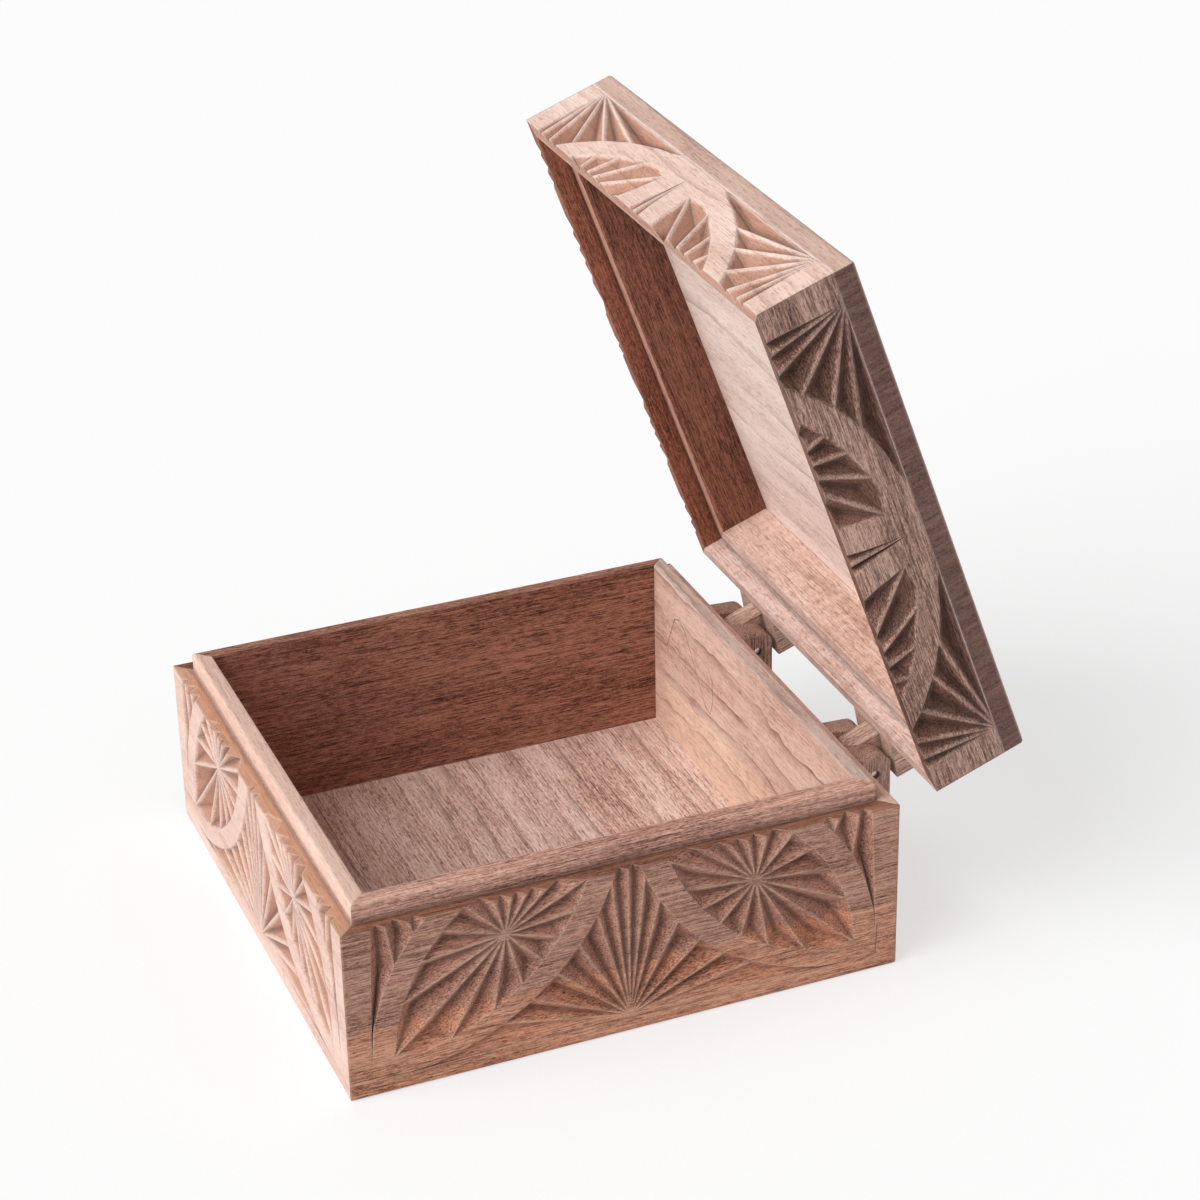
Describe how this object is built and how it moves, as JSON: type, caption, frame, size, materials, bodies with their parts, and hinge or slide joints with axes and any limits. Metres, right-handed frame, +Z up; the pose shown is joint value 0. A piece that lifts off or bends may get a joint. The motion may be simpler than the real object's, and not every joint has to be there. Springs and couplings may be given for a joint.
{
  "type": "carved wooden jewelry box",
  "caption": "Square walnut box with a hinged lid, chip-carved rosettes and fans on front and sides, and wooden knuckle hinges on steel pins.",
  "frame": {"origin": "centre of the underside of the body", "axes": "+Z up, -Y the front, +Y the hinge side, +X the box's right side seen from the front"},
  "size_m": [0.157, 0.1975, 0.213],
  "materials": {
    "walnut_wall": "bare sanded walnut, chip carved",
    "walnut_board": "bare sanded walnut",
    "walnut_hinge": "bare whittled walnut",
    "steel_pin": "cut wire"
  },
  "bodies": {
    "box": {"body_front_wall": "walnut_wall", "body_right_wall": "walnut_wall", "body_back_wall": "walnut_wall", "body_left_wall": "walnut_wall", "body_floor": "walnut_board", "right_hinge_body_leaf": "walnut_hinge", "right_hinge_pin": "steel_pin", "left_hinge_body_leaf": "walnut_hinge", "left_hinge_pin": "steel_pin"},
    "lid": {"lid_front_wall": "walnut_wall", "lid_right_wall": "walnut_wall", "lid_back_wall": "walnut_wall", "lid_left_wall": "walnut_wall", "lid_top_board": "walnut_board", "right_hinge_lid_leaf": "walnut_hinge", "left_hinge_lid_leaf": "walnut_hinge"}
  },
  "joints": [
    {"name": "lid_hinge", "type": "hinge", "parent": "box", "child": "lid", "pos_m": [0, 0.0866, 0.0446], "axis": [-1, 0, 0], "range_deg": [-70, 30]}
  ]
}
